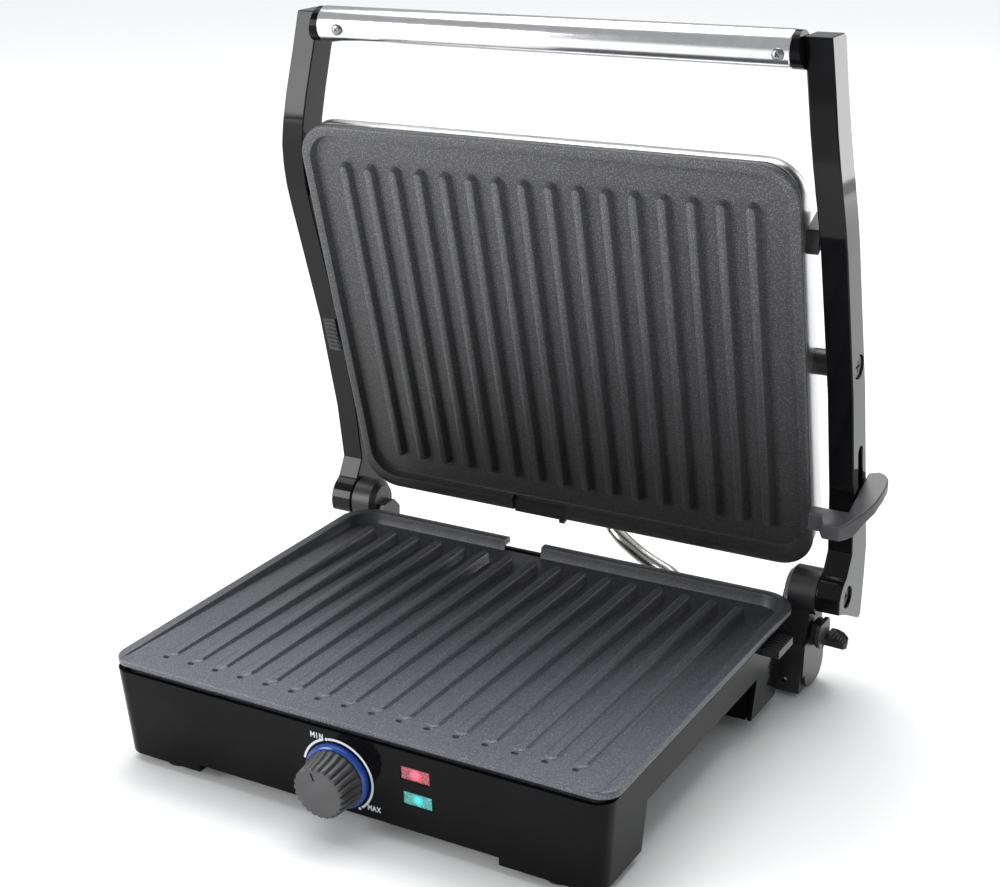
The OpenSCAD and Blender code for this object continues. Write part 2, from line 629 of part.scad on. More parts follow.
module latch_rivet() color("#8f9194") place() along_slot() translate([0, 0, 3])
    bar(arm_out - 7.4, arm_out + 3.9, [0, 0], 1.5);

// ---- Lid ----

// Domed shell, its top edge falling away toward its back. Each row: from and to depth, side inset, top drop
cover_rows = [[6.4, 13, 0, 0], [20, 22, 1, 5.5], [28.5, 30, 3, 13], [34.4, lid_depth, 9, 23]];
module cover_block(inset) translate([0, -inset, 0]) hull() for (row = cover_rows)
    slab(row[0], row[1]) polygon(rounded(lid_x - inset - row[2], 1.2 + inset + row[2],
        245.3 - inset - row[3], lid_corner - inset, 0, 6));

module lid_cover() color("#b4b6b9") in_lid() difference() {
    cover_block(0);
    cover_block(1);
    bar(-far, far, [pivot_m, pivot_t], 7.4);
    block([-far, -130], [7.6, 12.9], [99.4, 114.6]);
    translate([0, lid_depth - 15, 40]) rotate([-90, 0, 0]) cylinder(h = 20, r = 6.1);
}

lid_screw_places = [[137.6, 40], [-137.6, 40], [137.6, 205], [-137.6, 205]];
module lid_frame() color("#1a1b1d") in_lid() difference() {
    union() {
        slab(4.8, 6.3) polygon(rounded(143, 1.8, 244.7, lid_corner - 1));
        slab(6.2, 10) polygon(rounded(lid_x - 1.2, 2.4, 244, lid_corner - 1.5));
        // Lugs and bosses that carry the lid on its pivots
        for (s = [1, -1]) side_of(s) {
            block([133.4, 138], [9, 29.4], [pivot_t - 12, pivot_t + 12]);
            bar(137.9, arm_in - 0.4, [pivot_m, pivot_t], 7);
        }
        for (p = lid_screw_places) translate([p[0], 9, p[1]]) rotate([-90, 0, 0]) cylinder(h = 12, r = 4);
        // Rear hook tab under the plate's rim
        block([-42.3, -8], [1.5, 6.3], [-1.5, 7]);
        block([-12.5, -9], [0.8, 6], [-3.4, -1.4]);
    }
    slab(0, 8.5) polygon(rounded(well_hw + 0.4, 7, plate_d - 5, 15));
    slab(0, 20) polygon(rounded(pan_hw + 0.5, 9.5, 237, 11));
    for (s = [1, -1]) side_of(s) bar(136, far / 2, [pivot_m, pivot_t], pin_r);
    block([-far, -134], [8.2, 13.6], [96.7, 117.3]);
    for (p = lid_screw_places) translate([p[0], 0, p[1]]) rotate([-90, 0, 0]) {
        cylinder(h = 20, r = 1.5);
        cylinder(h = 9, r = 2.8);
    }
}
module lid_screws() color("#8f9194") in_lid()
    for (p = lid_screw_places) translate([p[0], 9, p[1]]) rotate([90, 0, 0])
        screw(2.6, 0.6, 1.4, 9);

module upper_plate() color("#2e2f32") in_lid() {
    difference() {
        union() {
            slab(0, lip_t) polygon(rounded(plate_w / 2, 0, plate_d, plate_corner + 3));
            slab(lip_t - eps, 8.2) polygon(rounded(well_hw, 7.5, plate_d - 5.5, 15));
            slab(8.2 - eps, 11) polygon(rounded(pan_hw, 10, 236.5, 10));
        }
        slab(-5, 5.2) polygon(rounded(plate_w / 2 - 7, 10, plate_d - 7, 13));
        block([-42.6, -7.7], [-1, 4.2], [-1, 10.2]);
    }
    intersection() {
        translate([0, 0, 20]) linear_extrude(206) for (i = [0:ridge_count - 1]) polygon([
            [ridge_x(i) - 4, 7.4], [ridge_x(i) - ridge_top_w / 2, 0.7],
            [ridge_x(i) + ridge_top_w / 2, 0.7], [ridge_x(i) + 4, 7.4]]);
        across(-far / 2, far / 2) polygon([
            [7.5, 22.4], [6, 22.6], [2.4, 23.2], [0.7, 25],
            [0.7, 221.4], [2.4, 223.2], [6, 223.8], [7.5, 224]]);
    }
}
module upper_reflector() color("#b9bcc0") in_lid() difference() {
    slab(11, 21) polygon(rounded(pan_hw - 1, 12, 235.5, 9));
    slab(10, 20) polygon(rounded(pan_hw - 2, 13, 234.5, 8));
}
module upper_element() color("#77797c") in_lid()
    translate([0, 11 + tube_r, 0]) rotate([90, 0, 0]) heating_rod(88, 34, 205, tube_r, 26);
module thermal_fuse() color("#d9d4c6") in_lid() {
    bar(-8, 8, [23.1, 60], 2);
    bar(-14, -8 + eps, [23.1, 60], 0.8);
    bar(8 - eps, 14, [23.1, 60], 0.8);
}

// Wedge on the lid's side that keeps it from tipping back past the arm
module tilt_stop(side) in_lid() side_of(side) difference() {
    across(lid_x, arm_in - 1.4) polygon([[8.5, 195], [24, 201], [26.5, 210], [12, 207]]);
    bar(lid_x - 1, arm_in, [17.5, 203.4], 1.6);
}
module tilt_stop_left() color("#1a1b1d") tilt_stop(-1);
module tilt_stop_right() color("#1a1b1d") tilt_stop(1);

module pivot_pin(side) side_of(side) shoulder_screw(pivot, 137, pivot_recess);
module pivot_pin_left() color("#8f9194") place() pivot_pin(-1);
module pivot_pin_right() color("#8f9194") place() pivot_pin(1);

module upper_plate_button() color("#5c5d60") in_lid() side_of(-1) {
    block([138, 151.2], [8.6, 12.5], [100, 114]);
    block([138, 139.4], [8.5, 13.4], [97, 117]);
    block([147.9, 151.2], [2, 12.5], [96, 118]);
    block([151, 156], [2, 5.4], [96, 118]);
    for (i = [0:6]) block([148.6, 155.4], [1.4, 2.1], [97.6 + 2.9 * i, 98.8 + 2.9 * i]);
}

module conduit_gland_lid() color("#1b1b1c") in_lid()
    translate([0, lid_depth, 40]) rotate([-90, 0, 0]) gland(6, conduit_r + 0.1);
module conduit_upper() color("#a9acb0") place() sweep(lid_route, conduit_r, [1, 0.1, 0]);

base_housing();
bottom_cover();
cover_screws();
rubber_feet();
lower_plate();
lower_reflector();
lower_element();
thermostat();
thermostat_shaft();
control_knob();
dial_ring();
dial_marks();
red_lens();
green_lens();
indicator_lamps();
lamp_holder();
terminal_block();
cord_gland();
conduit_gland_base();
conduit_lower();
hinge_bracket_left();
hinge_bracket_right();
hinge_pin_left();
hinge_pin_right();
release_lever();
release_pin();
lower_plate_button();
arm_left();
arm_right();
handle_tube();
handle_end_left();
handle_end_right();
handle_screws();
latch_lever();
latch_rivet();
lid_cover();
lid_frame();
lid_screws();
upper_plate();
upper_reflector();
upper_element();
thermal_fuse();
tilt_stop_left();
tilt_stop_right();
pivot_pin_left();
pivot_pin_right();
upper_plate_button();
conduit_gland_lid();
conduit_upper();
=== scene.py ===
import json
import math

import bmesh
import bpy
from mathutils import Matrix, Vector


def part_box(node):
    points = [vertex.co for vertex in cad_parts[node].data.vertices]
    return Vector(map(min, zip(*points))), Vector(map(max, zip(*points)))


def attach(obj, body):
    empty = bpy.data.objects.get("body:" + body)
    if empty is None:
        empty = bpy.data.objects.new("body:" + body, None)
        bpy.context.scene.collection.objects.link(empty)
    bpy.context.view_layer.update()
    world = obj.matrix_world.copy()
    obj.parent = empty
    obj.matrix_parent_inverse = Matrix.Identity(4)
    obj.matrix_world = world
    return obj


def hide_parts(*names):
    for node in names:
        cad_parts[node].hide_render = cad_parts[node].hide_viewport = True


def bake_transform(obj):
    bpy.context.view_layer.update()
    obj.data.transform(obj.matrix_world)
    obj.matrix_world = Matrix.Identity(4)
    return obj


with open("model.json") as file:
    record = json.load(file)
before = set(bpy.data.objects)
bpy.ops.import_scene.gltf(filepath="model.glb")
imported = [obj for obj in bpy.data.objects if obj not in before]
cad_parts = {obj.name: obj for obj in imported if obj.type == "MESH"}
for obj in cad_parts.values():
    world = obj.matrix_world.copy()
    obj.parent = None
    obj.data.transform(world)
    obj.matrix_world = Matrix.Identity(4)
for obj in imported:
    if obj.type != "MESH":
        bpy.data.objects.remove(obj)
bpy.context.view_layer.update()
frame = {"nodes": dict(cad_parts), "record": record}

nodes = frame["nodes"]

# ---- Places: millimetres from the lower plate's front lip and the table, turned into the frame ----

MM = 0.001
plate_low, plate_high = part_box("lower_plate")
FRONT_LIP = Vector(((plate_low.x + plate_high.x) / 2, plate_low.y, 0))
PLATE_TOP = plate_high.z / MM
PLATE_HALF = (plate_high.x - plate_low.x) / 2 / MM
PLATE_DEPTH = (plate_high.y - plate_low.y) / MM
LEAN = math.radians(16.4)
LID_FOOT = (261.0, PLATE_TOP + 10.5)
RIDGE_COUNT = 16
RIDGE_PITCH = 15.9
PANEL_FRONT = -1.5
PANEL_TAPER = 3.5
PANEL_HEIGHT = 49.5
PANEL_TILT = math.atan(PANEL_TAPER / PANEL_HEIGHT)
RIM_Z = PLATE_TOP - 6


def at(x, y, z):
    """A point of the press as it stands, from millimetres."""
    return FRONT_LIP + Vector((x, y, z)) * MM


def in_lid(x, m, t):
    """A point of the open lid: m behind the upper plate's rim, t up the lid."""
    y = LID_FOOT[0] + m * math.cos(LEAN) - t * math.sin(LEAN)
    z = LID_FOOT[1] + m * math.sin(LEAN) + t * math.cos(LEAN)
    return at(x, y, z)


def on_panel(x, out, up, centre):
    """A point on the tilted front panel: out of it and up it from centre, which is (x, z)."""
    y = PANEL_FRONT + PANEL_TAPER * (RIM_Z - centre[1]) / PANEL_HEIGHT
    y -= out * math.cos(PANEL_TILT) + up * math.sin(PANEL_TILT)
    z = centre[1] - out * math.sin(PANEL_TILT) + up * math.cos(PANEL_TILT)
    return at(centre[0] + x, y, z)


# ---- Materials ----


class Shader:
    """A node material with object-space coordinates in millimetres and short helpers."""

    def __init__(self, name, color, roughness, metallic=0.0, specular=0.5):
        self.material = bpy.data.materials.new(name)
        self.material.use_nodes = True
        self.tree = self.material.node_tree
        self.bsdf = self.tree.nodes["Principled BSDF"]
        self.set("Base Color", (*color, 1))
        self.set("Roughness", roughness)
        self.set("Metallic", metallic)
        self.set("Specular IOR Level", specular)
        self.color = color
        self.base_roughness = roughness
        geometry = self.tree.nodes.new("ShaderNodeTexCoord")
        scale = self.tree.nodes.new("ShaderNodeVectorMath")
        scale.operation = "SCALE"
        scale.inputs["Scale"].default_value = 1 / MM
        self.link(geometry.outputs["Object"], scale.inputs[0])
        self.place = scale.outputs[0]

    def set(self, socket, value):
        self.bsdf.inputs[socket].default_value = value

    def link(self, source, target):
        self.tree.links.new(source, target)

    def stretched(self, factors):
        node = self.tree.nodes.new("ShaderNodeVectorMath")
        node.operation = "MULTIPLY"
        node.inputs[1].default_value = factors
        self.link(self.place, node.inputs[0])
        return node.outputs[0]

    def noise(self, scale, detail=4, place=None):
        node = self.tree.nodes.new("ShaderNodeTexNoise")
        node.inputs["Scale"].default_value = scale
        node.inputs["Detail"].default_value = detail
        self.link(place or self.place, node.inputs["Vector"])
        return node.outputs["Fac"]

    def cells(self, scale, place=None):
        node = self.tree.nodes.new("ShaderNodeTexVoronoi")
        node.inputs["Scale"].default_value = scale
        self.link(place or self.place, node.inputs["Vector"])
        return node.outputs["Distance"]

    def ramp(self, value, low, high, to_low=0.0, to_high=1.0):
        node = self.tree.nodes.new("ShaderNodeMapRange")
        for socket, number in zip(("From Min", "From Max", "To Min", "To Max"), (low, high, to_low, to_high)):
            node.inputs[socket].default_value = number
        self.link(value, node.inputs["Value"])
        return node.outputs["Result"]

    def mix(self, factor, first, second):
        node = self.tree.nodes.new("ShaderNodeMix")
        node.data_type = "RGBA"
        self.link(factor, node.inputs["Factor"])
        for socket, value in ((node.inputs[6], first), (node.inputs[7], second)):
            if isinstance(value, tuple):
                socket.default_value = (*value, 1)
            else:
                self.link(value, socket)
        return node.outputs[2]

    def times(self, first, second):
        """Colour first multiplied by colour second."""
        node = self.tree.nodes.new("ShaderNodeMix")
        node.data_type = "RGBA"
        node.blend_type = "MULTIPLY"
        node.inputs["Factor"].default_value = 1
        self.link(first, node.inputs[6])
        self.link(second, node.inputs[7])
        return node.outputs[2]

    def along(self, axis):
        node = self.tree.nodes.new("ShaderNodeSeparateXYZ")
        self.link(self.place, node.inputs[0])
        return node.outputs[axis]

    def paint(self, color):
        self.link(color, self.bsdf.inputs["Base Color"])

    def rough(self, value):
        self.link(value, self.bsdf.inputs["Roughness"])

    def bump(self, height, strength, distance=0.1):
        node = self.tree.nodes.new("ShaderNodeBump")
        node.inputs["Strength"].default_value = strength
        node.inputs["Distance"].default_value = distance * MM
        self.link(height, node.inputs["Height"])
        last = self.bsdf.inputs["Normal"]
        if last.is_linked:
            self.link(last.links[0].from_socket, node.inputs["Normal"])
        self.link(node.outputs["Normal"], last)


def coated(name, color, fleck, roughness, axis, dark_end, light_end, dark):
    """Non-stick coating: fine orange peel with small pale flecks, with painted shade making it darker toward
    one end.
    """
    s = Shader(name, color, roughness, specular=0.5)
    grain = s.noise(1.6, 3)
    flecks = s.ramp(s.cells(1.1), 0.36, 0.20)
    tone = s.mix(s.ramp(s.noise(0.02, 2), 0.35, 0.65), color, tuple(c * 1.18 for c in color))
    grey = s.mix(s.ramp(grain, 0.42, 0.62), tone, tuple(c * 1.5 for c in color))
    # Painted shade and painted reflection: the colour darkens from light_end to dark_end, down to the factor
    # dark, in place of how light falls across the plate.
    painted_shade = s.mix(s.ramp(s.along(axis), dark_end, light_end), (dark, dark, dark), (1.0, 1.0, 1.0))
    s.paint(s.times(s.mix(flecks, grey, fleck), painted_shade))
    s.rough(s.ramp(s.noise(0.5, 5), 0.3, 0.7, roughness - 0.06, roughness + 0.08))
    s.bump(grain, 0.35, 0.12)
    s.bump(s.noise(5.0, 2), 0.25, 0.05)
    return s.material


def gloss(name, color, roughness=0.07, specular=0.35):
    """Polished moulding: mirror-like, with faint flow waves, dust and rubbed patches."""
    s = Shader(name, color, roughness, specular=specular)
    s.paint(s.mix(s.ramp(s.noise(0.03, 3), 0.4, 0.7), color, tuple(c * 1.35 + 0.001 for c in color)))
    dust = s.ramp(s.noise(2.2, 6), 0.62, 0.8)
    s.rough(s.ramp(dust, 0, 1, roughness, roughness + 0.1))
    s.bump(s.noise(0.035, 2), 0.05, 0.6)
    return s.material


def textured(name, color, roughness=0.5, grain=2.4, strength=0.3, specular=0.45):
    """Spark-eroded plastic: even fine pits and a slight change of tone."""
    s = Shader(name, color, roughness, specular=specular)
    darker, lighter = (tuple(c * share for c in color) for share in (0.88, 1.15))
    s.paint(s.mix(s.ramp(s.noise(0.08, 4), 0.35, 0.7), darker, lighter))
    pits = s.noise(grain, 3)
    s.rough(s.ramp(pits, 0.3, 0.7, roughness - 0.07, roughness + 0.07))
    s.bump(pits, strength, 0.08)
    return s.material


def brushed(name, color, along, roughness=0.28, anisotropy=0.4):
    """Metal with fine brush lines; along holds how much to stretch the grain on each axis."""
    s = Shader(name, color, roughness, metallic=1.0)
    lines = s.noise(1.0, 6, s.stretched(along))
    s.paint(s.mix(s.ramp(lines, 0.35, 0.65), tuple(c * 0.86 for c in color), color))
    s.rough(s.ramp(lines, 0.3, 0.7, roughness - 0.08, roughness + 0.08))
    s.bump(lines, 0.12, 0.02)
    s.set("Anisotropic", anisotropy)
    return s.material


def polished(name, color, roughness=0.12):
    """Bright metal with light polishing marks and faint smears."""
    s = Shader(name, color, roughness, metallic=1.0)
    smear = s.noise(0.12, 4)
    s.paint(s.mix(s.ramp(smear, 0.35, 0.7), tuple(c * 0.9 for c in color), color))
    s.rough(s.ramp(s.noise(1.4, 5), 0.35, 0.7, roughness - 0.04, roughness + 0.06))
    s.bump(s.noise(0.8, 6), 0.04, 0.02)
    return s.material


def lens(name, color, core, glow, centre, reach):
    """Clear tinted lens with a lit neon lamp behind its middle and moulded flecks."""
    s = Shader(name, color, 0.12, specular=0.6)
    offset = s.tree.nodes.new("ShaderNodeVectorMath")
    offset.operation = "SUBTRACT"
    offset.inputs[1].default_value = centre / MM
    s.link(s.place, offset.inputs[0])
    squeeze = s.tree.nodes.new("ShaderNodeVectorMath")
    squeeze.operation = "MULTIPLY"
    squeeze.inputs[1].default_value = (1 / reach, 0, 1 / reach)
    s.link(offset.outputs[0], squeeze.inputs[0])
    length = s.tree.nodes.new("ShaderNodeVectorMath")
    length.operation = "LENGTH"
    s.link(squeeze.outputs[0], length.inputs[0])
    near = s.ramp(length.outputs["Value"], 1.0, 0.35)
    speck = s.ramp(s.noise(1.6, 3), 0.45, 0.62)
    body = s.mix(speck, tuple(c * 0.55 for c in color), tuple(min(1, c * 1.5 + 0.03) for c in color))
    lit = s.mix(near, body, core)
    s.paint(lit)
    s.link(lit, s.bsdf.inputs["Emission Color"])
    s.set("Emission Strength", glow)
    s.bump(s.noise(1.1, 2), 0.15, 0.1)
    return s.material


def printed(name, color):
    """Screen-printed ink with slightly uneven cover."""
    s = Shader(name, color, 0.4)
    s.paint(s.mix(s.ramp(s.noise(3.0, 3), 0.35, 0.6), tuple(c * 0.85 for c in color), color))
    s.bump(s.noise(4.0, 2), 0.1, 0.03)
    return s.material


RED_AT = (41.9, PLATE_TOP - 18.5)
GREEN_AT = (42.6, PLATE_TOP - 32.7)
KNOB_AT = (-2.6, 29.6)
LAMP_GLOW = 0.35
LAMP_REACH = 3.6

MATERIALS = {
    "gloss_black": gloss("gloss_black", (0.0035, 0.0035, 0.004), 0.08, 0.09),
    "arm_black": gloss("arm_black", (0.0035, 0.0035, 0.004), 0.07, 0.24),
    "black_steel": textured("black_steel", (0.02, 0.02, 0.022), 0.45, 1.2, 0.15),
    "zinc": polished("zinc", (0.55, 0.55, 0.56), 0.25),
    "screw_steel": polished("screw_steel", (0.26, 0.26, 0.27), 0.24),
    "foot_rubber": textured("foot_rubber", (0.018, 0.018, 0.018), 0.8, 1.2, 0.3, 0.2),
    # The last three arguments set painted shade: the lower plate darker toward the back, the upper plate
    # darker toward its foot.
    "lower_coating": coated("lower_coating", (0.078, 0.080, 0.094), (0.25, 0.255, 0.28), 0.38, "Y",
                            (FRONT_LIP.y + 0.22) / MM, FRONT_LIP.y / MM, 0.36),
    "upper_coating": coated("upper_coating", (0.060, 0.060, 0.063), (0.23, 0.23, 0.235), 0.42, "Z",
                            PLATE_TOP + 15, PLATE_TOP + 235, 0.16),
    "reflector": polished("reflector", (0.72, 0.73, 0.74), 0.25),
    "heater_steel": brushed("heater_steel", (0.25, 0.25, 0.26), (2, 0.1, 2), 0.45),
    "bimetal": polished("bimetal", (0.62, 0.52, 0.32), 0.3),
    "knob_grey": textured("knob_grey", (0.066, 0.066, 0.068), 0.42, 2.2, 0.4),
    "blue_ring": gloss("blue_ring", (0.006, 0.05, 0.28), 0.1, 0.6),
    "white_print": printed("white_print", (0.82, 0.83, 0.86)),
    "red_lens": lens("red_lens", (0.32, 0.05, 0.07), (0.95, 0.12, 0.22), LAMP_GLOW,
                     on_panel(0, 0, 0, RED_AT), LAMP_REACH),
    "green_lens": lens("green_lens", (0.05, 0.30, 0.28), (0.05, 0.60, 0.66), LAMP_GLOW,
                       on_panel(0, 0, 0, GREEN_AT), LAMP_REACH),
    "lamp_glass": polished("lamp_glass", (0.8, 0.7, 0.6), 0.2),
    "board": textured("board", (0.25, 0.15, 0.06), 0.6),
    "ceramic": textured("ceramic", (0.7, 0.66, 0.58), 0.6),
    "gland_black": textured("gland_black", (0.02, 0.02, 0.02), 0.55),
    "conduit_steel": polished("conduit_steel", (0.50, 0.49, 0.465), 0.26),
    "bracket_grey": textured("bracket_grey", (0.020, 0.020, 0.0215), 0.36, 2.2, 0.2),
    "pin_steel": polished("pin_steel", (0.09, 0.09, 0.095), 0.35),
    "lever_grey": textured("lever_grey", (0.034, 0.034, 0.036), 0.38, 2.4, 0.22),
    "button_black": textured("button_black", (0.020, 0.020, 0.022), 0.36, 2.4, 0.2),
    "handle_steel": polished("handle_steel", (0.80, 0.80, 0.81), 0.16),
    "latch_grey": textured("latch_grey", (0.046, 0.046, 0.049), 0.34, 2.4, 0.12, 0.5),
    "brushed_steel": brushed("brushed_steel", (0.70, 0.70, 0.71), (0.05, 3, 3), 0.30),
    "frame_black": textured("frame_black", (0.012, 0.012, 0.013), 0.4, 2.0, 0.15),
}

# ---- Making pieces ----


def own_material(node):
    slots = {part["node"]: part["material_slot"] for part in frame["record"]["subparts"]}
    return MATERIALS[slots[node]]


def keep_node(node, edge):
    """A CAD node that stays: its material, and softly rounded edges from modifiers."""
    piece = nodes[node]
    piece.data.materials.clear()
    piece.data.materials.append(own_material(node))
    if "custom_normal" in piece.data.attributes:
        piece.data.attributes.remove(piece.data.attributes["custom_normal"])
    return soften(piece, edge, 2, 32)


def soften(piece, edge, segments, angle):
    """Smooth shading, and the sharper edges rounded by modifiers."""
    piece.data.polygons.foreach_set("use_smooth", [True] * len(piece.data.polygons))
    weld = piece.modifiers.new("weld", "WELD")
    weld.merge_threshold = 0.00001
    bevel = piece.modifiers.new("edge", "BEVEL")
    bevel.width = edge * MM
    bevel.segments = segments
    bevel.limit_method = "ANGLE"
    bevel.angle_limit = math.radians(angle)
    bevel.harden_normals = True
    bevel.use_clamp_overlap = True
    return piece


def new_piece(name, mesh, body, material, *replaced):
    """A finished mesh as a piece on a body, in place of CAD nodes."""
    piece = bpy.data.objects.new(name, mesh)
    bpy.context.scene.collection.objects.link(piece)
    mesh.materials.append(MATERIALS[material])
    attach(piece, body)
    if replaced:
        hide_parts(*replaced)
    return piece


def smooth(mesh, angle=35):
    mesh.polygons.foreach_set("use_smooth", [True] * len(mesh.polygons))
    mesh.set_sharp_from_angle(angle=math.radians(angle))
    return mesh


def mesh_of(name, points, faces):
    mesh = bpy.data.meshes.new(name)
    mesh.from_pydata([tuple(p) for p in points], [], faces)
    mesh.validate()
    return mesh


def loft(rings, closed_ends=True):
    """Points and faces of a skin over equal closed rings."""
    count = len(rings[0])
    points = [p for ring in rings for p in ring]
    faces = []
    for row in range(len(rings) - 1):
        for k in range(count):
            a, b = row * count + k, row * count + (k + 1) % count
            faces.append((a, b, b + count, a + count))
    if closed_ends:
        faces.append(tuple(reversed(range(count))))
        faces.append(tuple((len(rings) - 1) * count + k for k in range(count)))
    return points, faces


def joined(parts):
    """Several point-and-face lists as one."""
    points, faces = [], []
    for some_points, some_faces in parts:
        first = len(points)
        points += some_points
        faces += [tuple(first + i for i in face) for face in some_faces]
    return points, faces


def fix_normals(mesh):
    made = bmesh.new()
    made.from_mesh(mesh)
    bmesh.ops.recalc_face_normals(made, faces=made.faces)
    made.to_mesh(mesh)
    made.free()
    return mesh


def cut(mesh, cutter):
    """The mesh with the cutter's volume taken away."""
    body = bpy.data.objects.new("cut_body", mesh)
    tool = bpy.data.objects.new("cut_tool", cutter)
    for thing in (body, tool):
        bpy.context.scene.collection.objects.link(thing)
    boolean = body.modifiers.new("cut", "BOOLEAN")
    boolean.operation = "DIFFERENCE"
    boolean.object = tool
    boolean.solver = "EXACT"
    graph = bpy.context.evaluated_depsgraph_get()
    result = bpy.data.meshes.new_from_object(body.evaluated_get(graph))
    for thing in (body, tool):
        bpy.data.objects.remove(thing)
    return result


def rounded_ring(half, low, high, radius, low_radius=0.0, steps=12):
    """Outline of a rounded rectangle centred on x, from low to high, as (x, y) points."""
    ring = []
    q = low_radius or radius
    corners = ((half - radius, high - radius, 0, radius), (radius - half, high - radius, 90, radius),
               (q - half, low + q, 180, q), (half - q, low + q, 270, q))
    for x, y, start, r in corners:
        for i in range(steps + 1):
            turn = math.radians(start + 90 * i / steps)
            ring.append((x + r * math.cos(turn), y + r * math.sin(turn)))
    return ring


def capsule_ring(x, low, high, radius, steps=6):
    """Outline of a bar with round ends along y, as (x, y) points."""
    ring = []
    for y, start in ((high - radius, 0), (low + radius, 180)):
        for i in range(steps + 1):
            turn = math.radians(start + 180 * i / steps)
            ring.append((x + radius * math.cos(turn), y + radius * math.sin(turn)))
    return ring


# ---- Cooking plates ----


def plate_mesh(name, place, corners, outlet, rims, floor, well):
    """A cast plate. place maps (x, along, height); rims is the rim's width at (sides, low, high)."""
    side, low, high = rims

    def ring(inset, height, inner=0.0):
        # inner goes from 0 on the outer outline to 1 where the rim's inner wall starts
        half = PLATE_HALF - inset - inner * side
        y0 = inset + inner * low
        y1 = PLATE_DEPTH - inset - inner * high
        high_radius, low_radius = (max(r - inset - inner * side * 0.8, 5) for r in corners)
        return [place(x, y, height(y) if callable(height) else height)
                for x, y in rounded_ring(half, y0, y1, high_radius, low_radius)]

    rings = [
        ring(13, -well - 4.1), ring(13, -well), ring(5.5, -well), ring(5.5, -4.0), ring(0.7, -4.0),
        ring(0.2, -3.8), ring(0, -3.3), ring(0, -1.3), ring(0.15, -0.75), ring(0.6, -0.25), ring(1.3, 0),
        ring(-1.0, 0, 1), ring(-0.3, -0.15, 1),
        ring(0.1, lambda y: min(-0.45, floor(y) * 0.3), 1),
        ring(0.75, lambda y: min(-0.5, floor(y) + 0.9), 1),
        ring(1.2, lambda y: min(-0.55, floor(y) + 0.25), 1), ring(2.1, floor, 1)]
    points, faces = loft(rings)
    mesh = fix_normals(mesh_of(name, points, faces))
    tool = box_mesh(place, outlet)
    return cut(mesh, tool)


def box_mesh(place, corners):
    (x0, x1), (y0, y1), (z0, z1) = corners
    outline = ((x0, y0), (x1, y0), (x1, y1), (x0, y1))
    points, faces = loft([[place(x, y, z) for x, y in outline] for z in (z0, z1)])
    return fix_normals(mesh_of("box", points, faces))


def ridge_places():
    return [(i - (RIDGE_COUNT - 1) / 2) * RIDGE_PITCH for i in range(RIDGE_COUNT)]


def ridge_parts(place, low, high, top, floor, half_top=2.3, run=1.3):
    """Ridges with round ends and soft top edges, from top down into the floor."""
    parts = []
    for x in ridge_places():
        rings = []
        profile = ((run + 0.35, 1.12), (run, 1.0), (run * 0.5, 0.5), (0.15, 0.16), (-0.1, 0.05), (-0.55, 0.0))
        for grow, share in profile:
            ring = capsule_ring(x, low - grow, high + grow, half_top + grow)
            rings.append([place(px, py, top + share * min(floor(py) - top, -0.35)) for px, py in ring])
        parts.append(loft(rings))
    return parts


def lower_floor(y):
    return -0.6 - 6.4 * min(max((y - 16) / 216, 0), 1)


def upper_floor(t):
    return -5.0


def at_lower(x, y, height):
    return at(x, y, PLATE_TOP + height)


def at_upper(x, t, height):
    return in_lid(x, -height, t)


def with_ridges(mesh, parts):
    ridges = fix_normals(mesh_of("ridges", *joined(parts)))
    both = bmesh.new()
    both.from_mesh(mesh)
    both.from_mesh(ridges)
    both.to_mesh(mesh)
    both.free()
    return mesh


def dimple_tool(place):
    """Small oval pits at the front end of each lower ridge."""
    pit_y = 15.6
    turns = [math.radians(a) for a in range(0, 360, 20)]
    parts = []
    for x in ridge_places():
        rings = []
        for radius, height in ((1.5, -2.4), (1.9, -1.8), (2.0, -1.0), (2.5, 1.0)):
            rings.append([place(x + radius * math.cos(turn), pit_y + radius * 0.8 * math.sin(turn), height)
                          for turn in turns])
        parts.append(loft(rings))
    return fix_normals(mesh_of("dimples", *joined(parts)))


def lower_plate():
    spout = ((-37, -13), (PLATE_DEPTH - 12, PLATE_DEPTH + 2), (-7.0, 2))
    mesh = plate_mesh("lower_plate_cast", at_lower, (20, 11), spout, (6.4, 0.4, 6.4), lower_floor, 8.9)
    mesh = cut(mesh, dimple_tool(at_lower))
    mesh = with_ridges(mesh, ridge_parts(at_lower, 19.5, 221, -0.55, lower_floor))
    return new_piece("lower_plate_cast", smooth(mesh, 30), "base", "lower_coating", "lower_plate")


def upper_plate():
    notch = ((-42.6, -7.7), (-2, 11.5), (-4.2, 2))
    mesh = plate_mesh("upper_plate_cast", at_upper, (21, 21), notch, (5.8, 8.6, 5.8), upper_floor, 8.2)
    mesh = with_ridges(mesh, ridge_parts(at_upper, 24.5, 222, -0.7, upper_floor))
    return new_piece("upper_plate_cast", smooth(mesh, 30), "lid", "upper_coating", "upper_plate")


# ---- Control knob ----

FLUTES = 24
STEPS_PER_FLUTE = 12
FLUTE_DEPTH = 1.35
FLUTE_WIDTH = 0.17
POINTER_ANGLE = math.radians(106)
# Rows of the knob's side: radius, distance out of the panel, share of the flute depth
KNOB_SIDE = ((16.4, 4.4, 0.5), (16.4, 5.5, 1.0), (15.9, 7.0, 1.0), (15.2, 9.8, 1.0), (14.8, 14.0, 1.0),
             (14.5, 17.6, 1.0), (14.2, 18.3, 0.9), (13.6, 18.75, 0.6), (12.6, 18.8, 0.15), (11.5, 18.8, 0))


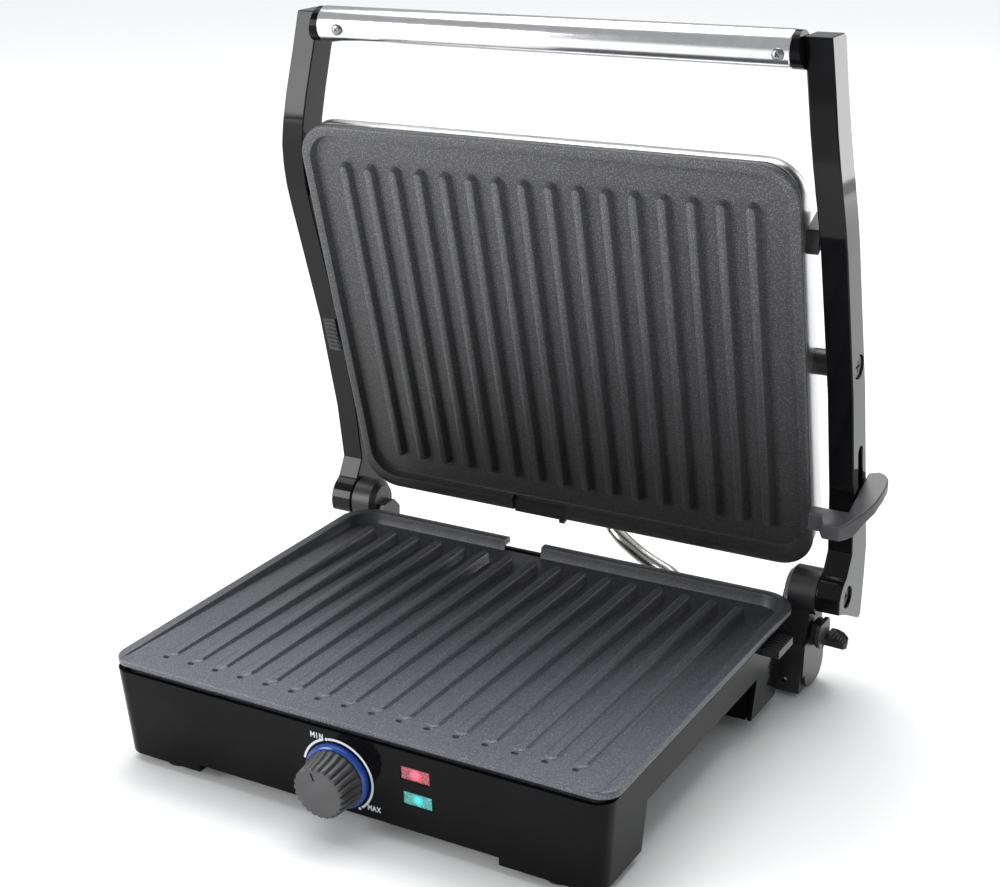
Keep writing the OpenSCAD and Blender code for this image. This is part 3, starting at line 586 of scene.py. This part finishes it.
def control_knob():
    """Fluted knob turned from its profile, with a pointer groove in its face."""
    count = FLUTES * STEPS_PER_FLUTE
    rings = []
    for radius, out, share in KNOB_SIDE:
        ring = []
        for k in range(count):
            phase = (k / STEPS_PER_FLUTE) % 1 - 0.5
            r = radius - FLUTE_DEPTH * share * math.exp(-(phase / FLUTE_WIDTH) ** 2)
            turn = 2 * math.pi * k / count
            ring.append(on_panel(r * math.cos(turn), out, r * math.sin(turn), KNOB_AT))
        rings.append(ring)
    for radius in (8, 3):
        rings.append([on_panel(radius * math.cos(2 * math.pi * k / count), 18.7,
                               radius * math.sin(2 * math.pi * k / count), KNOB_AT) for k in range(count)])
    mesh = fix_normals(mesh_of("control_knob_turned", *loft(rings)))
    along = (math.cos(POINTER_ANGLE), math.sin(POINTER_ANGLE))
    aside = (-along[1], along[0])
    corners = ((7, -0.6), (11.6, -0.6), (11.6, 0.6), (7, 0.6))
    groove = [[on_panel(r * along[0] + w * aside[0], out, r * along[1] + w * aside[1], KNOB_AT)
               for r, w in corners] for out in (18.0, 19.4)]
    mesh = cut(mesh, fix_normals(mesh_of("groove", *loft(groove))))
    return new_piece("control_knob_turned", smooth(mesh, 40), "knob", "knob_grey", "control_knob")


# ---- Lid cover ----

COVER_HALF = 143.75
COVER_FOOT = 1.2
COVER_HEAD = 245.3
COVER_CORNER = 19
# Rows of the cover: depth behind the rim, side inset, top drop
COVER_ROWS = ((10, 1, 1), (6.4, 1, 1), (6.4, 0.15, 0.15), (6.9, 0, 0), (12, 0, 0), (16, 0.35, 2.2),
              (20, 0.9, 5.2), (24, 1.6, 8.6), (28, 2.7, 12.3), (31, 4.4, 15.8), (33, 6, 18.4),
              (35, 8.6, 22), (36, 11, 25))


def lid_cover():
    """Pressed steel shell behind the upper plate, its top edge domed toward the back."""
    rings = []
    for m, side, drop in COVER_ROWS:
        corner = COVER_CORNER + side * 0.6
        outline = rounded_ring(COVER_HALF - side, COVER_FOOT + side, COVER_HEAD - drop, corner)
        rings.append([in_lid(x, m, t) for x, t in outline])
    points, faces = loft(rings)
    faces.remove(faces[-2])
    mesh = fix_normals(mesh_of("lid_cover_pressed", points, faces))
    return new_piece("lid_cover_pressed", smooth(mesh, 40), "lid", "brushed_steel", "lid_cover")


# ---- Handle, its screws and the conduit ----

HANDLE = (209, PLATE_TOP + 299.5)
HANDLE_HALF = 134
HANDLE_SCREWS = (-120.5, 128.5)


def circle(centre, side, other, radius, count):
    """Points of a circle in the plane of two unit directions."""
    turns = [2 * math.pi * k / count for k in range(count)]
    return [centre + (side * math.cos(turn) + other * math.sin(turn)) * radius * MM for turn in turns]


def lathe(axis_start, axis_end, profile, count=64):
    """Rings round an axis: profile holds (distance along it, radius), in millimetres."""
    axis = (axis_end - axis_start).normalized()
    side = axis.orthogonal().normalized()
    other = axis.cross(side)
    rings = []
    for along, radius in profile:
        centre = axis_start + axis * along * MM
        rings.append(circle(centre, side, other, radius, count))
    return loft(rings)


def handle_tube():
    end = ((0, 8.4), (0, 9.1), (0.3, 9.45), (0.8, 9.6))
    profile = end + tuple((2 * HANDLE_HALF - along, radius) for along, radius in reversed(end))
    points, faces = lathe(at(-HANDLE_HALF, *HANDLE), at(HANDLE_HALF, *HANDLE), profile, 128)
    mesh = fix_normals(mesh_of("handle_tube_drawn", points, faces))
    return new_piece("handle_tube_drawn", smooth(mesh, 40), "arms", "handle_steel", "handle_tube")


def cross_screw(foot, out, radius, height):
    """Pan-head screw with a cross recess: a mesh standing on foot and facing along out."""
    domed = [(-2, radius * 0.9)]
    domed += [(height * up, radius * share)
              for up, share in ((0, 1), (0.45, 0.98), (0.75, 0.85), (0.95, 0.6), (1, 0.3))]
    mesh = fix_normals(mesh_of("head", *lathe(foot, foot + out * MM, domed, 40)))
    side = out.orthogonal().normalized()
    other = out.cross(side)
    long_way, short_way = radius * 0.55, radius * 0.13
    for a, b in ((long_way, short_way), (short_way, long_way)):
        rings = []
        for level, grow in ((height * 0.25, 0.45), (height + 1, 1.1)):
            rings.append([foot + (out * level + side * x * grow * a + other * y * grow * b) * MM
                          for x, y in ((-1, -1), (1, -1), (1, 1), (-1, 1))])
        mesh = cut(mesh, fix_normals(mesh_of("cross", *loft(rings))))
    return mesh


def handle_screws():
    made = bmesh.new()
    for x in HANDLE_SCREWS:
        made.from_mesh(cross_screw(at(x, HANDLE[0] - 9.3, HANDLE[1] - 1.5), Vector((0, -1, 0)), 3.2, 1.6))
    mesh = bpy.data.meshes.new("handle_screws_turned")
    made.to_mesh(mesh)
    made.free()
    return new_piece("handle_screws_turned", smooth(mesh, 40), "arms", "screw_steel", "handle_screws")


# ---- Arms ----

HINGE = (261.5, PLATE_TOP - 1.5)
PIVOT = (246.8, PLATE_TOP + 135.7)
PIN_R = 4.05
BOSS_R = 14.5
KNEE = PLATE_TOP + 220
KNEE_REACH = 24
KNEE_SLOPE = 13.3 / 80
ARM_SIDES = (152, 166)
ARM_THICK = ARM_SIDES[1] - ARM_SIDES[0]
SLOT_FOOT = (270.2, PLATE_TOP + 50)
SLOT_LEAN = math.radians(14)
SLOT_R = 3.3
# Outline of an arm as (y, height above the plate): front edge downward, then back edge upward
ARM_FRONT = ((208.2, 306), (206.6, 284), (204.4, 262), (203.9, 245), (204.7, 232), (207.2, 220), (210.4, 208),
             (214.8, 195), (240.8, 120), (256.6, 60), (262.6, 24), (260.2, 19.2))
ARM_BACK = ((260.7, -12.2), (284.6, -23.8), (287, -24), (289, -21.5), (289.2, 0), (288.5, 20), (277.8, 60),
            (261, 120), (234.3, 195), (230.3, 208), (227.3, 220), (225, 232), (224.1, 245), (224.4, 262),
            (225.8, 284), (228.2, 304), (226, 306))


def bent_in(z):
    """How far the arm has moved toward the middle at a height: none below the knee, a soft bend through it."""
    above = z - KNEE
    if above < -KNEE_REACH:
        return 0.0
    if above > KNEE_REACH:
        return above * KNEE_SLOPE
    return (above + KNEE_REACH) ** 2 / (4 * KNEE_REACH) * KNEE_SLOPE


def slot_ring():
    """Outline of the latch's slot, a capsule along its lean, as (y, z) points."""
    ring = []
    for end, first in ((35, 0), (-6, 180)):
        for a in range(first, first + 181, 15):
            turn = math.radians(a)
            across, along = SLOT_R * math.cos(turn), end + SLOT_R * math.sin(turn)
            ring.append((SLOT_FOOT[0] + across * math.cos(SLOT_LEAN) - along * math.sin(SLOT_LEAN),
                         SLOT_FOOT[1] + across * math.sin(SLOT_LEAN) + along * math.cos(SLOT_LEAN)))
    return ring


def arm(name, side, slotted):
    """Side arm from its outline, bent inward at the knee, with recesses for its two screws."""
    turns = [math.radians(a) for a in range(112, 206, 3)]
    boss = [(HINGE[0] + BOSS_R * math.cos(turn), HINGE[1] + BOSS_R * math.sin(turn)) for turn in turns]
    outline = [(y, z + PLATE_TOP) for y, z in ARM_FRONT] + boss + [(y, z + PLATE_TOP) for y, z in ARM_BACK]
    mesh = fix_normals(mesh_of(name, *loft([[at(x, y, z) for y, z in outline] for x in ARM_SIDES])))
    made = bmesh.new()
    made.from_mesh(mesh)
    for level in range(-28, 29, 4):
        parts = list(made.verts) + list(made.edges) + list(made.faces)
        bmesh.ops.bisect_plane(made, geom=parts, plane_co=at(0, 0, KNEE + level), plane_no=(0, 0, 1))
    for vert in made.verts:
        vert.co.x -= bent_in(vert.co.z / MM) * MM
    made.to_mesh(mesh)
    made.free()
    for y, z, depth, radius in ((*HINGE, 4.8, 6.3), (*PIVOT, 4.3, 6.5)):
        drill = ((-1, PIN_R), (ARM_THICK - depth, PIN_R), (ARM_THICK - depth, radius), (ARM_THICK + 2, radius))
        ends = [at(x, y, z) for x in ARM_SIDES]
        mesh = cut(mesh, fix_normals(mesh_of("drill", *lathe(*ends, drill, 48))))
    if slotted:
        rings = [[at(x, y, z) for y, z in slot_ring()] for x in (158, 168)]
        mesh = cut(mesh, fix_normals(mesh_of("slot", *loft(rings))))
    if side < 0:
        for vert in mesh.vertices:
            vert.co.x = 2 * FRONT_LIP.x - vert.co.x
        mesh.flip_normals()
    piece = new_piece(name, mesh, "arms", "arm_black", "arm_left" if side < 0 else "arm_right")
    return soften(piece, 1.3, 3, 30)


def curve_through(stops, per_span=6):
    """Smooth points through a list of places."""
    line = []
    padded = [stops[0] * 2 - stops[1]] + stops + [stops[-1] * 2 - stops[-2]]
    for i in range(1, len(padded) - 2):
        a, b, c, d = padded[i - 1:i + 3]
        for k in range(per_span):
            t = k / per_span
            line.append(0.5 * (2 * b + (c - a) * t + (2 * a - 5 * b + 4 * c - d) * t * t
                               + (3 * b - a - 3 * c + d) * t ** 3))
    return line + [stops[-1]]


def tube(name, route, radius, body, material, *replaced):
    line = curve_through([at(*stop) for stop in route])
    rings = []
    side = Vector((0.3, 0.1, 1))
    for i, centre in enumerate(line):
        heading = (line[min(i + 1, len(line) - 1)] - line[max(i - 1, 0)]).normalized()
        side = (side - heading * side.dot(heading)).normalized()
        other = heading.cross(side)
        rings.append(circle(centre, side, other, radius, 32))
    mesh = fix_normals(mesh_of(name, *loft(rings)))
    piece = bpy.data.objects.new(name, smooth(mesh, 50))
    bpy.context.scene.collection.objects.link(piece)
    mesh.materials.append(MATERIALS[material])
    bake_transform(piece)
    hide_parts(*replaced)
    return piece


CONDUIT_R = 4.5
BASE_ROUTE = ((66, 245, 44), (66, 256, 44), (63, 266, 44), (56, 273, 45), (46, 276, 47), (36, 277, 51),
              (28, 277, 56), (22, 277.5, 60), (16.6, 279.5, 63.6))
LID_ROUTE = ((16.6, 279.5, 63.6), (12.5, 282.5, 66.3), (10, 286.5, 68.3), (8, 292, 71), (6, 298, 75.5),
             (4, 303, 82.5), (3, 305, 90), (2, 305, 100), (1, 305, 108), (0, 305, 113.6), (0, 304.1, 117.6),
             (0, 301.4, 120.8), (0, 297.6, 122.5), (0, 293.5, 122.2), (0, 287, 120.3), (0, 280, 118.3))


def conduits():
    tube("conduit_base_half", BASE_ROUTE, CONDUIT_R, ("base", "arms", at(52, 275, 46), at(17, 279.3, 63)),
         "conduit_steel", "conduit_lower")
    tube("conduit_lid_half", LID_ROUTE, CONDUIT_R, ("arms", "lid", at(16, 280, 64), at(3, 305, 90)),
         "conduit_steel", "conduit_upper")


# ---- Kept nodes ----

EDGE = 0.15
ROUNDED = {
    "base_housing": 0.7, "hinge_bracket_left": 0.8, "hinge_bracket_right": 0.8, "latch_lever": 1.0,
    "release_lever": 0.5, "lower_plate_button": 0.25, "upper_plate_button": 0.4, "handle_end_left": 0.5,
    "handle_end_right": 0.5, "tilt_stop_left": 0.6, "tilt_stop_right": 0.6, "lid_frame": 0.4,
    "dial_ring": 0.3, "dial_marks": 0.03, "rubber_feet": 0.4, "bottom_cover": 0.3,
}

# ---- Scene ----


def camera():
    """The photograph's viewpoint: azimuth, elevation and roll of a view camera with its shift."""
    azimuth, elevation, roll = (math.radians(a) for a in (32.655, 22.865, -1.507))
    forward = Vector((-math.sin(azimuth) * math.cos(elevation), math.cos(azimuth) * math.cos(elevation),
                      -math.sin(elevation)))
    level = Vector((math.cos(azimuth), math.sin(azimuth), 0))
    rise = level.cross(forward)
    right = level * math.cos(roll) + rise * math.sin(roll)
    up = rise * math.cos(roll) - level * math.sin(roll)
    data = bpy.data.cameras.new("camera")
    data.sensor_width = 36
    data.lens = 65.556
    data.shift_x = 0.1355
    data.shift_y = 0.0982
    data.clip_start = 0.05
    data.clip_end = 50
    thing = bpy.data.objects.new("camera", data)
    turn = Matrix((right, up, -forward)).transposed().to_4x4()
    thing.matrix_world = Matrix.Translation(at(434.98, -652.94, 485.93)) @ turn
    bpy.context.scene.collection.objects.link(thing)
    bpy.context.scene.camera = thing


def area_light(name, place, target, size, power, color=(1, 1, 1)):
    data = bpy.data.lights.new(name, "AREA")
    data.shape = "RECTANGLE"
    data.size, data.size_y = size
    data.energy = power
    data.color = color
    thing = bpy.data.objects.new(name, data)
    thing.location = place
    thing.rotation_euler = (Vector(target) - Vector(place)).to_track_quat("-Z", "Y").to_euler()
    thing.visible_camera = False
    bpy.context.scene.collection.objects.link(thing)


def studio():
    world = bpy.data.worlds.new("studio")
    world.use_nodes = True
    world.node_tree.nodes["Background"].inputs["Color"].default_value = (0.96, 0.98, 1, 1)
    world.node_tree.nodes["Background"].inputs["Strength"].default_value = 0.45
    bpy.context.scene.world = world
    sun = bpy.data.lights.new("sky", "SUN")
    sun.energy = 1.75
    sun.angle = math.radians(60)
    lamp = bpy.data.objects.new("sky", sun)
    lamp.rotation_euler = (math.radians(-12), math.radians(-14), 0)
    bpy.context.scene.collection.objects.link(lamp)
    area_light("left_softbox", (-1.35, -1.45, 0.62), (-0.1, 0.1, 0.25), (0.9, 1.1), 26)
    area_light("rear_right_panel", (0.95, 2.1, 0.5), (0.1, 0.1, 0.2), (0.9, 0.9), 8)
    area_light("overhead", (-0.1, 0.9, 2.1), (0, 0, 0.1), (1.8, 1.2), 24)
    bpy.ops.mesh.primitive_plane_add(size=40)
    floor = bpy.context.object
    floor.name = "floor"
    shade = Shader("floor_paper", (0.90, 0.90, 0.90), 0.95, specular=0.0)
    shade.bump(shade.noise(0.4, 3), 0.02, 0.1)
    floor.data.materials.append(shade.material)
    bpy.context.scene.view_settings.view_transform = "Standard"


camera()
studio()
REBUILT = ("lower_plate", "upper_plate", "control_knob", "lid_cover", "handle_tube", "handle_screws",
           "arm_left", "arm_right", "conduit_lower", "conduit_upper")
for node in nodes:
    if node not in REBUILT:
        keep_node(node, ROUNDED.get(node, EDGE))
lower_plate()
upper_plate()
control_knob()
lid_cover()
handle_tube()
handle_screws()
arm("arm_left_moulded", -1, False)
arm("arm_right_moulded", 1, True)
conduits()
